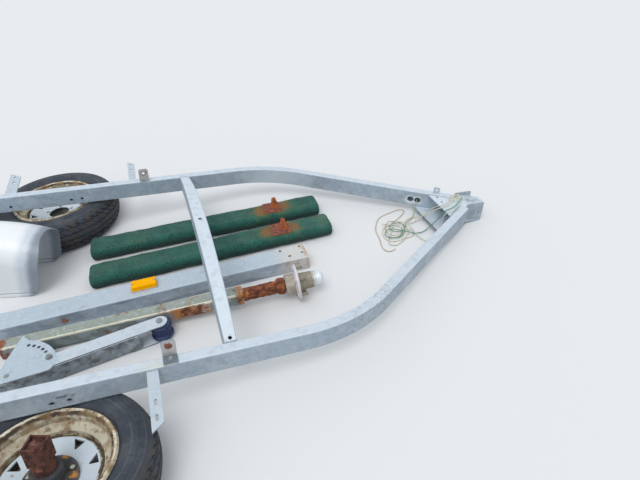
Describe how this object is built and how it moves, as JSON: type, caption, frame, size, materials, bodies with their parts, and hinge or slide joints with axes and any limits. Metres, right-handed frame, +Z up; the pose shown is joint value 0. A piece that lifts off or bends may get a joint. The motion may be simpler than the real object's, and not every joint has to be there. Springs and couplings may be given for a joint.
{
  "type": "dismantled boat trailer",
  "caption": "Galvanised boat trailer, taken apart: bent rail frame lying on its two flat wheels, with tongue tube, axle, carpeted bunks, winch arm and a fender lying inside it.",
  "frame": {"origin": "on the ground, under the middle of everything but the wires", "axes": "+X forward to the nose, +Y to the trailer's left, +Z up"},
  "size_m": [3.1203, 2.082, 0.4308],
  "materials": {
    "galvanised": "matt spangled zinc",
    "rusty_steel": "rusted",
    "tyre": "worn",
    "rim_paint": "aged cream with rust",
    "hub_metal": "weathered",
    "lamp_base": "matt",
    "amber_lens": "gloss",
    "carpet": "carpet",
    "blue_rubber": "satin",
    "bolt": "zinc",
    "fender_plastic": "satin",
    "wire": "satin"
  },
  "bodies": {
    "trailer": {"right_rail": "galvanised", "left_rail": "galvanised", "front_crossmember": "galvanised", "middle_crossmember": "galvanised", "rear_crossmember": "galvanised", "upper_gusset": "galvanised", "lower_gusset": "galvanised", "tongue_plates": "galvanised", "light_tab": "galvanised", "front_bunk_brackets": "galvanised", "rear_bunk_brackets": "galvanised", "front_fender_brackets": "galvanised", "rear_fender_brackets": "galvanised", "right_tyre": "tyre", "right_rim": "rim_paint", "left_tyre": "tyre", "left_rim": "rim_paint", "right_hub": "hub_metal", "right_grease_cap": "hub_metal", "axle_beam": "galvanised", "tongue_beam": "galvanised", "lamp_base": "lamp_base", "lamp_lens": "amber_lens", "left_bunk": "carpet", "right_bunk": "carpet", "bunk_tees": "rusty_steel", "winch_arm": "galvanised", "quadrant_plates": "galvanised", "fork_plates": "galvanised", "roller_bolt": "bolt", "fender": "fender_plastic", "wire_tangle": "wire", "wire_lead_a": "wire", "wire_lead_b": "wire"},
    "axle_hub_turning": {"axle_hub": "hub_metal", "axle_grease_cap": "hub_metal"},
    "stub": {"axle_stub": "rusty_steel"},
    "roller": {"bow_roller": "blue_rubber"}
  },
  "joints": [
    {"name": "axle_hub_turn", "type": "hinge", "parent": "trailer", "child": "axle_hub_turning", "pos_m": [0.5641, -0.2029, 0.0724], "axis": [0.9941, -0.101, 0.0393], "continuous": true},
    {"name": "stub_turn", "type": "hinge", "parent": "trailer", "child": "stub", "pos_m": [-0.29619, -0.7573, 0.11528], "axis": [0.0785, 0.1077, 0.9911], "continuous": true},
    {"name": "roller_turn", "type": "hinge", "parent": "trailer", "child": "roller", "pos_m": [0.02308, -0.21748, 0.008], "axis": [0, 0, 1], "continuous": true}
  ]
}
